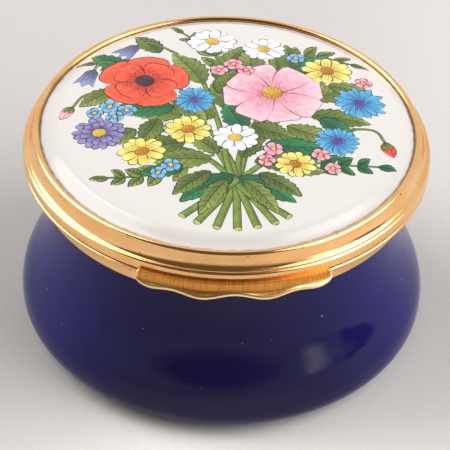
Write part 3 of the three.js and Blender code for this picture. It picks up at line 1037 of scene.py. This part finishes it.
def paint_bunch():
    """A generic bunch of garden flowers, in millimetres from the lid's middle with the front downwards."""
    art = Picture(seed=11)
    tie = (0.5, -12.2)

    # stalks, cut ends to the front and heads to the back
    for end, head, mid in (
        ((-4.6, -19.4), (13.5, 9.5), (3.5, -3.0)),
        ((-2.2, -20.3), (5.5, 4.5), (1.5, -6.0)),
        ((0.4, -20.6), (-2.5, -2.0), (0.0, -8.0)),
        ((2.9, -20.2), (-9.5, 8.5), (-2.6, -4.0)),
        ((5.2, -19.5), (-14.5, -2.5), (-4.4, -6.6)),
        ((6.9, -18.4), (-4.0, 14.0), (-1.2, -1.0)),
        ((-6.4, -18.2), (16.5, -1.0), (6.6, -6.6)),
    ):
        draw_stem(art, [end, tie, mid, head], 0.95, 0.4)

    # outer leaves, then those between the heads
    draw_spray(art, [(-4, 4), (-9.5, 11), (-17.2, 13.6)], 5, 3.4, 0.85, MOSS)
    draw_spray(art, [(4, 8), (10.5, 15), (17.0, 13.5)], 5, 3.3, 0.85, OLIVE)
    draw_spray(art, [(2, -5), (11, -8.2), (18.8, -8.4)], 5, 3.4, 0.9, EMERALD)
    draw_spray(art, [(-2, -7), (-10, -10.5), (-15.6, -10.8)], 4, 3.2, 0.85, OLIVE)
    draw_spray(art, [(0, 9), (-1.5, 15.5), (-5.4, 20.6)], 4, 3.0, 0.75, OLIVE)
    for x, y, angle, length, half, tones, bend, teeth in (
        (0.2, -11.0, 205, 8.2, 1.7, EMERALD, 20, 7),
        (0.8, -11.4, -22, 8.4, 1.7, EMERALD, -20, 7),
        (-0.6, -11.8, 232, 7.2, 1.3, OLIVE, 16, 6),
        (1.6, -11.8, -48, 7.4, 1.3, OLIVE, -18, 6),
        (-2.4, -8.0, 170, 8.0, 1.9, OLIVE, 22, 8),
        (3.0, -8.4, 8, 8.2, 2.0, MOSS, -18, 8),
        (4.6, -4.8, -12, 7.6, 1.9, EMERALD, 22, 7),
        (-5.6, -4.2, 196, 7.4, 1.8, MOSS, -18, 7),
        (-6.0, 1.0, 158, 8.4, 2.1, OLIVE, 18, 8),
        (-7.0, 3.0, 186, 8.0, 1.9, EMERALD, -16, 7),
        (-3.0, 8.0, 108, 8.2, 2.0, OLIVE, 22, 8),
        (-1.0, 9.0, 72, 8.6, 2.0, MOSS, -14, 8),
        (3.6, 10.0, 96, 7.2, 1.9, OLIVE, -20, 8),
        (9.5, 9.0, 62, 7.8, 1.9, EMERALD, -14, 7),
        (11.0, 5.0, 24, 7.4, 1.9, OLIVE, 16, 8),
        (10.5, 1.5, -4, 8.2, 1.8, MOSS, -12, 8),
        (7.5, -1.0, -30, 7.2, 1.7, OLIVE, 18, 8),
        (-12.5, 12.0, 150, 6.6, 1.6, EMERALD, -20, 6),
        (-8.5, 15.5, 118, 5.6, 1.4, MOSS, 14, 6),
        (-1.8, 0.5, 140, 6.4, 1.8, OLIVE, 16, 8),
        (0.0, 2.4, 96, 6.8, 2.0, MOSS, 12, 8),
        (2.2, -1.8, 120, 6.2, 1.8, EMERALD, -18, 7),
        (-3.6, -4.0, 100, 6.0, 1.7, EMERALD, 14, 7),
        (1.8, -4.6, 50, 6.6, 1.8, OLIVE, -14, 8),
        (-1.6, -6.6, 128, 5.6, 1.4, OLIVE, 12, 7),
        (1.4, -7.6, 66, 6.2, 1.4, MOSS, -12, 7),
        (-1.0, 6.0, 60, 5.6, 1.7, MOSS, 14, 8),
        (-6.4, 4.8, 300, 6.0, 1.7, OLIVE, 16, 8),
        (-9.0, 0.6, 250, 5.4, 1.5, MOSS, -16, 7),
        (3.0, -1.0, 330, 6.0, 1.7, MOSS, 14, 8),
        (12.0, 0.8, 320, 6.2, 1.6, EMERALD, -14, 7),
        (13.6, 8.2, 350, 6.0, 1.6, OLIVE, -18, 8),
        (8.6, 11.6, 84, 6.0, 1.6, MOSS, 16, 8),
        (-14.6, 7.0, 205, 5.4, 1.5, OLIVE, 18, 7),
        (-12.0, -1.6, 215, 5.6, 1.5, OLIVE, -16, 7),
        (6.2, -9.0, 345, 5.8, 1.4, OLIVE, 14, 7),
        (-6.2, -9.0, 200, 5.4, 1.4, EMERALD, -14, 7),
        (-2.6, -10.2, 214, 6.4, 1.3, MOSS, 14, 7),
        (3.6, -10.6, 328, 6.4, 1.3, MOSS, -14, 7),
    ):
        draw_leaf(art, x, y, angle, length, half, tones, bend, teeth)

    # heads
    white = (srgb(206, 212, 214), srgb(246, 246, 246))
    yolk = (srgb(206, 158, 38), srgb(240, 208, 88))
    honey = (srgb(160, 96, 28), srgb(214, 150, 52))
    lemon = (srgb(222, 186, 60), srgb(246, 232, 136))
    violet = (srgb(78, 72, 118), srgb(150, 156, 196))
    draw_stem(art, [(-6, 15), (-9.6, 18.2), (-11.4, 17.4)], 0.3, 0.22)
    draw_bell(art, -11.4, 17.6, 226, 3.3, violet, DARK_INK)
    draw_stem(art, [(-11, 11), (-15.8, 14.0), (-17.4, 11.8)], 0.3, 0.22)
    draw_bell(art, -17.3, 12.0, 246, 3.4, violet, DARK_INK)
    draw_stem(art, [(12, -2), (18.4, -1.0), (20.2, -3.6)], 0.3, 0.22)
    draw_bud(art, 20.1, -3.4, -74, 3.0, (srgb(190, 40, 34), srgb(236, 92, 70)), DARK_INK)
    draw_stem(art, [(-9, 6), (-17.5, 6.8), (-20.2, 3.8)], 0.3, 0.22)
    draw_bud(art, -20.1, 4.0, 238, 2.8, (srgb(214, 110, 140), srgb(246, 190, 204)), DARK_INK)
    draw_daisy(art, -1.4, 18.2, 3.3, white, yolk, 14)
    draw_daisy(art, 5.4, 16.4, 3.0, white, yolk, 13, 9)
    draw_daisy(art, 13.6, 11.6, 3.4, lemon, (srgb(150, 88, 26), srgb(202, 140, 50)), 12)
    draw_cornflower(art, 17.4, 4.6, 3.7)
    draw_cornflower(art, 13.9, -3.8, 3.2, 14)
    draw_aster(art, -16.6, -1.8, 3.6)
    draw_daisy(art, -11.2, -6.0, 3.1, lemon, honey, 12)
    draw_daisy(art, 8.2, -8.6, 2.7, lemon, honey, 12, 11)
    draw_cornflower(art, -4.2, 4.4, 3.0, 6)
    draw_daisy(art, 0.8, -3.6, 3.0, white, yolk, 14, 5)
    draw_anemone(art, -10.6, 9.0, 6.1)
    draw_cosmos(art, 6.0, 6.0, 6.6)
    draw_daisy(art, -5.2, -1.8, 3.1, lemon, honey, 12, 7)
    sky = (srgb(58, 122, 184), srgb(134, 192, 226))
    rose = (srgb(214, 96, 132), srgb(244, 176, 196))
    for x, y, reach, tones in (
        (-15.2, 3.6, 1.35, sky), (-13.0, 2.6, 1.25, sky), (-17.2, 2.4, 1.1, sky), (-14.6, 1.4, 1.2, sky),
        (11.6, -6.6, 1.2, rose), (5.6, -5.8, 1.3, rose), (4.6, -8.0, 1.15, rose), (13.0, -9.2, 1.1, rose),
        (1.2, 12.6, 1.3, rose), (-0.8, 11.2, 1.2, rose), (2.8, 11.2, 1.15, rose),
        (9.6, 14.4, 1.2, sky), (18.2, 9.2, 1.15, rose), (-7.6, -8.8, 1.25, sky), (-9.2, -10.2, 1.1, sky),
    ):
        turn = art.chance.uniform(0, 70)
        draw_petals(art, x, y, 5, reach, reach * 0.42, tones, petal_form, DARK_INK, turn, 0.95, 1)
        draw_disc(art, x, y, reach * 0.24, yolk, DARK_INK)
    return art


# Camera, table and lights

def add_camera():
    """Sets the photograph's view and aims it so that a point of the box's axis meets its pixel."""
    elevation, azimuth = math.radians(VIEW_ELEVATION), math.radians(VIEW_AZIMUTH)
    away = Vector((
        math.sin(azimuth) * math.cos(elevation),
        -math.cos(azimuth) * math.cos(elevation),
        math.sin(elevation),
    ))
    target = Vector((0, 0, AXIS_POINT))
    place = target + away * VIEW_DISTANCE
    roll = Matrix.Rotation(math.radians(VIEW_ROLL), 3, "Z").to_quaternion()
    turn = away.to_track_quat("Z", "Y") @ roll
    right, up = turn @ Vector((1, 0, 0)), turn @ Vector((0, 1, 0))
    millimetres_per_pixel = VIEW_DISTANCE / FOCAL_PIXELS
    aim = target + (FRAME_PIXELS / 2 - AXIS_PIXEL[0]) * millimetres_per_pixel * right
    aim -= (FRAME_PIXELS / 2 - AXIS_PIXEL[1]) * millimetres_per_pixel * up
    data = bpy.data.cameras.new("camera")
    data.sensor_width = 36
    data.lens = FOCAL_PIXELS / FRAME_PIXELS * data.sensor_width
    data.clip_start = 0.01
    data.clip_end = 20
    camera = add_object("camera", data)
    camera.location = place * MM
    camera.rotation_mode = "QUATERNION"
    camera.rotation_quaternion = (place - aim).to_track_quat("Z", "Y") @ roll
    bpy.context.scene.camera = camera


# Shaders

class Wire:
    """A shader value whose sums can be written as sums."""

    def __init__(self, shader, socket):
        self.shader = shader
        self.socket = socket

    def maths(self, operation, other=0.5):
        return self.shader.maths(operation, self, other)

    def __add__(self, other):
        return self.maths("ADD", other)

    def __radd__(self, other):
        return self.maths("ADD", other)

    def __sub__(self, other):
        return self.maths("SUBTRACT", other)

    def __rsub__(self, other):
        return self.shader.maths("SUBTRACT", other, self)

    def __mul__(self, other):
        return self.maths("MULTIPLY", other)

    def __rmul__(self, other):
        return self.maths("MULTIPLY", other)

    def __truediv__(self, other):
        return self.maths("DIVIDE", other)

    def __rtruediv__(self, other):
        return self.shader.maths("DIVIDE", other, self)

    def out(self, name):
        """Another output of the node that this value comes from."""
        return Wire(self.shader, self.socket.node.outputs[name])

    def clamp(self):
        return self.shader.node("ShaderNodeClamp", {}, {"Value": self})

    def smooth(self, low, high):
        """0 at low and 1 at high, eased between; low may be the greater."""
        return self.shader.node(
            "ShaderNodeMapRange",
            {"interpolation_type": "SMOOTHSTEP"},
            {"Value": self, "From Min": low, "From Max": high, "To Min": 0.0, "To Max": 1.0},
        )


class Shader:
    """The nodes of a material or of the room, round the surface or background that they feed."""

    def __init__(self, owner, main="Principled BSDF", **constants):
        owner.use_nodes = True
        self.owner = owner
        self.tree = owner.node_tree
        self.main = self.tree.nodes[main]
        for socket, value in constants.items():
            self.set(socket, value)

    def node(self, kind, settings=None, values=None, out=0):
        made = self.tree.nodes.new(kind)
        for key, value in (settings or {}).items():
            setattr(made, key, value)
        for key, value in (values or {}).items():
            self.feed(made.inputs[key], value)
        return Wire(self, made.outputs[out])

    def feed(self, socket, value):
        """Links a value or sets a constant; a colour is given without its alpha."""
        if isinstance(value, Wire):
            self.tree.links.new(value.socket, socket)
        elif socket.type == "RGBA":
            socket.default_value = (*value, 1.0)
        else:
            socket.default_value = value

    def set(self, socket, value):
        self.feed(self.main.inputs[socket], value)

    def maths(self, operation, a, b):
        return self.node("ShaderNodeMath", {"operation": operation}, {0: a, 1: b})

    def vectors(self, operation, a, b, out="Vector"):
        return self.node("ShaderNodeVectorMath", {"operation": operation}, {0: a, 1: b}, out)

    def place(self):
        return self.node("ShaderNodeTexCoord", out="Object")

    def split(self, vector):
        """A vector's first number; out() gives the others."""
        return self.node("ShaderNodeSeparateXYZ", {}, {"Vector": vector})

    def joined(self, x, y, z):
        return self.node("ShaderNodeCombineXYZ", {}, {"X": x, "Y": y, "Z": z})

    def noise(self, vector, scale, detail=2.0, roughness=0.5):
        values = {"Vector": vector, "Scale": scale, "Detail": detail, "Roughness": roughness}
        return self.node("ShaderNodeTexNoise", {}, values)

    def mix(self, factor, a, b, blend="MIX"):
        """Blends two colours."""
        settings = {"data_type": "RGBA", "blend_type": blend}
        return self.node("ShaderNodeMix", settings, {"Factor": factor, 6: a, 7: b}, out=2)

    def mark(self, name, out="Fac"):
        """An attribute of the mesh."""
        return self.node("ShaderNodeAttribute", {"attribute_name": name}, out=out)

    def bump(self, height, distance, strength):
        return self.node("ShaderNodeBump", {}, {"Height": height, "Distance": distance, "Strength": strength})


def finish(name, **constants):
    """A new material, its constants set by socket name."""
    return Shader(bpy.data.materials.new(name), **constants)


def gilt_material():
    """Polished gilding: fine wiping scratches, faint clouds of tarnish, a few dark pits and painted shade
    where it meets the enamel's edge.
    """
    s = finish("gilt brass", Metallic=1.0)
    place = s.place()
    apart = s.split(place)
    round_about = apart.out("Y").maths("ARCTAN2", apart.out("X"))
    wiping = s.noise(s.joined(round_about * 0.004, apart.out("Z"), 0.0), 9000.0)
    clouds = s.noise(place, 190.0, 3.0)
    grain = s.noise(place, 2600.0)
    pits = s.noise(place, 1500.0, 1.0).smooth(0.735, 0.775)
    reach = (apart.out("X") * apart.out("X") + apart.out("Y") * apart.out("Y")).maths("SQRT")
    # painted shade: the gilt darkens towards brown in the crease at the enamel's edge
    enamel_edge_shade = 1.0 - (reach - PLAQUE_EDGE[0] * MM - clouds * 0.0003).smooth(-0.0001, 0.00018)
    gold = s.mix(clouds.smooth(0.35, 0.7), (1.0, 0.6, 0.26), (0.96, 0.52, 0.2))
    gold = s.mix((pits * 0.75).clamp(), gold, (0.16, 0.075, 0.025))
    gold = s.mix((enamel_edge_shade * 0.7).clamp(), gold, (0.3, 0.15, 0.05))
    s.set("Base Color", gold)
    s.set("Roughness", 0.1 + grain * 0.07 + clouds.smooth(0.5, 0.75) * 0.1 + pits * 0.3)
    s.set("Normal", s.bump(wiping * 0.7 + grain * 0.5 - pits, 0.000012, 0.6))
    return s.owner


def lift_material():
    """The lift: a brushed face painted a darker coppery tone as shade, and a smoother lip painted brighter as
    a highlight.
    """
    s = finish("gilt lift", Metallic=1.0)
    place = s.place()
    apart = s.split(place)
    round_about = apart.maths("ARCTAN2", apart.out("Y"))
    streaks = s.noise(s.joined(round_about * 0.03, apart.out("Z") * 0.12, 0.0), 5200.0)
    clouds = s.noise(place, 420.0, 3.0)
    lip = s.mark("lip").smooth(0.3, 0.8)
    # painted shade on the face and a painted highlight on the lip, both on one gilt piece
    face = s.mix(streaks.smooth(0.35, 0.65), (0.6, 0.235, 0.045), (0.76, 0.335, 0.08))
    lip_highlight = s.mix(clouds.smooth(0.35, 0.7), (0.99, 0.72, 0.36), (0.95, 0.6, 0.22))
    s.set("Base Color", s.mix(lip, face, lip_highlight))
    s.set("Roughness", 0.3 - lip * 0.13 + streaks * 0.1)
    s.set("Normal", s.bump(streaks * (1.0 - lip), 0.00003, 0.6))
    return s.owner


def blue_material():
    """Cobalt enamel outside, painted darker towards the front as shade, and pale enamel inside, a little
    uneven, with a few specks.
    """
    s = finish("blue enamel", IOR=1.28)
    place = s.place()
    clouds = s.noise(place, 130.0, 3.0)
    ripple = s.noise(place, 420.0)
    specks = s.noise(place, 1900.0, 1.0).smooth(0.795, 0.81)
    # painted shade: the cobalt is darker towards the front of the box
    front = s.split(place).out("Y").smooth(-0.012, -0.028)
    deep = s.mix(front, srgb(29, 24, 96), srgb(21, 17, 60))
    cobalt = s.mix(clouds.smooth(0.3, 0.7), s.mix(0.25, deep, srgb(14, 10, 50)), deep)
    cobalt = s.mix((specks * 0.6).clamp(), cobalt, srgb(150, 160, 200))
    counter = s.mix(ripple.smooth(0.3, 0.75), srgb(222, 218, 209), srgb(214, 210, 201))
    s.set("Base Color", s.mix(s.mark("lining").smooth(0.4, 0.6), cobalt, counter))
    s.set("Roughness", 0.07 + clouds.smooth(0.4, 0.8) * 0.12 + specks * 0.2)
    s.set("Normal", s.bump(ripple + clouds * 2.0, 0.00005, 0.4))
    return s.owner


def white_material():
    """White enamel under the painted bunch: soft pigment clouds, a brown edge ring that is painted reflection
    and shade of the gilt with ragged nicks, and faint orange peel.
    """
    s = finish("white enamel", IOR=1.5)
    place = s.place()
    paint = s.mark("paint", "Color")
    clouds = s.noise(place, 900.0, 4.0, 0.6)
    grain = s.noise(place, 3600.0)
    apart = s.split(place)
    reach = (apart.out("X") * apart.out("X") + apart.out("Y") * apart.out("Y")).maths("SQRT")
    # painted reflection and shade of the gilt: a brown ring round the enamel's edge, its ragged inner line
    # standing for nicks
    rim_reflection_shade_and_nicks = (reach + s.noise(place, 900.0, 3.0) * 0.00045).smooth(0.02585, 0.0262)
    wash = s.mix(clouds.smooth(0.38, 0.62), (0.62, 0.64, 0.62), (1.0, 1.0, 1.0))
    wash = s.mix((grain - 0.3).clamp(), wash, (1.1, 1.1, 1.1))
    tint = s.mix(0.75, paint, wash, "MULTIPLY")
    strength = s.node("ShaderNodeSeparateColor", {"mode": "HSV"}, {"Color": paint}, out=1)
    enamel = s.mix(strength.smooth(0.3, 0.14), tint, paint)
    s.set("Base Color", s.mix((rim_reflection_shade_and_nicks * 0.85).clamp(), enamel, srgb(112, 84, 58)))
    s.set("Roughness", 0.09 + clouds.smooth(0.45, 0.75) * 0.06 + rim_reflection_shade_and_nicks * 0.25)
    s.set("Normal", s.bump(clouds, 0.00002, 0.25))
    return s.owner


def table_material():
    """Pale paper with painted light: a painted pool of light close before the box, and painted light that
    brightens it to the right.
    """
    s = finish("pale table", Roughness=0.7)
    place = s.place()
    fibres = s.noise(place, 1300.0, 4.0, 0.6)
    broad = s.noise(place, 60.0)
    # painted light: the paper is lighter round a spot just before the box and towards the right
    lit_pool_distance = s.vectors("DISTANCE", place, (0.006, -0.036, 0), "Value")
    rightward_painted_light = s.split(place).smooth(0.012, 0.05)
    paper_and_painted_light = s.mix(rightward_painted_light, (0.51, 0.49, 0.475), (0.6, 0.575, 0.56))
    paper_and_painted_light = s.mix(1.0 - lit_pool_distance.smooth(0.004, 0.05), paper_and_painted_light, (0.86, 0.83, 0.81))
    paper_and_painted_light = s.mix((fibres.smooth(0.35, 0.7) * 0.05 + broad * 0.05).clamp(), paper_and_painted_light, (0.3, 0.28, 0.27))
    s.set("Base Color", paper_and_painted_light)
    s.set("Normal", s.bump(fibres, 0.0001, 0.25))
    return s.owner


# The room: a dim studio with a tall soft light at each side, open and pale behind

def heading(azimuth, elevation):
    """A direction; azimuth counts from the camera's side, positive to the right."""
    a, e = math.radians(azimuth + VIEW_AZIMUTH), math.radians(elevation)
    return Vector((math.sin(a) * math.cos(e), -math.cos(a) * math.cos(e), math.sin(e)))


def add_room():
    world = bpy.data.worlds.new("room")
    bpy.context.scene.world = world
    s = Shader(world, "Background")
    away = s.node("ShaderNodeTexCoord", out="Generated")

    def toward(direction):
        return s.vectors("DOT_PRODUCT", away, direction, "Value")

    def patch(azimuth, elevation, half_width, half_height, edge):
        """A soft-edged oval of light, its half sizes in degrees."""
        centre = heading(azimuth, elevation)
        across = Vector((0, 0, 1)).cross(centre).normalized()
        up = centre.cross(across)
        depth = toward(centre).maths("MAXIMUM", 0.02)
        u = toward(across) / depth / math.tan(math.radians(half_width))
        v = toward(up) / depth / math.tan(math.radians(half_height))
        reach = (u * u + v * v).maths("SQRT")
        return 1.0 - reach.smooth(1.0 - edge, 1.0 + edge)

    dim = toward(heading(0, 53)).smooth(math.cos(math.radians(57)), math.cos(math.radians(42)))
    pale = s.mix(dim, (0.8, 0.79, 0.78), (0.125, 0.098, 0.068))
    pale = s.mix(patch(81, 0, 11.5, 7.2, 0.25), pale, (0.03, 0.03, 0.03))
    left = patch(-105, 38, 21, 34, 0.25) * 3.6
    right = patch(76, 38, 26, 30, 0.3) * 3.9
    small = patch(53, 7, 5.6, 4.2, 0.95) * 2.8
    lamps = left + right + small
    s.set("Color", s.vectors("ADD", pale, s.joined(lamps, lamps, lamps)))


# The object

def dress(obj, body, slot, material, *nodes):
    """Gives a piece its material, its body and the CAD nodes that it stands for; slot is not used."""
    obj.data.materials.clear()
    obj.data.materials.append(material)
    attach(obj, body)
    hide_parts(*nodes)


add_camera()

gilt = gilt_material()
blue = blue_material()
white = white_material()

vessel, lined_from = body_section()
body = finish_mesh("body", turned(vessel, False, lined_from=lined_from))
dress(body, "box", "blue_enamel", blue, "box_body")
hinge_nodes = knuckle_tree()
base_ring = finish_mesh("base_ring", turned(base_section(), True))
lid_ring = finish_mesh("lid_ring", turned(lid_section(), True))
dress(mount("base_mount", base_ring, False, hinge_nodes, gilt), "box", "gilt_brass", gilt, "base_bezel")
dress(mount("lid_mount", lid_ring, True, hinge_nodes, gilt), "lid", "gilt_brass", gilt, "lid_bezel")
dress(plaque_mesh(paint_bunch()), "lid", "white_enamel", white, "lid_plaque")
dress(finish_mesh("lift", thumb_mesh()), "lid", "gilt_brass", lift_material(), "thumb_piece")
dress(finish_mesh("pin", pin_mesh()), "box", "gilt_brass", gilt, "hinge_pin")

# Table and light
sheet = bmesh.new()
sheet.faces.new([sheet.verts.new((x, y, 0)) for x, y in ((-900, -420), (240, -420), (240, 900), (-900, 900))])
floor = finish_mesh("table", sheet)
floor.data.materials.append(table_material())

add_room()

bpy.context.scene.view_settings.view_transform = "Standard"
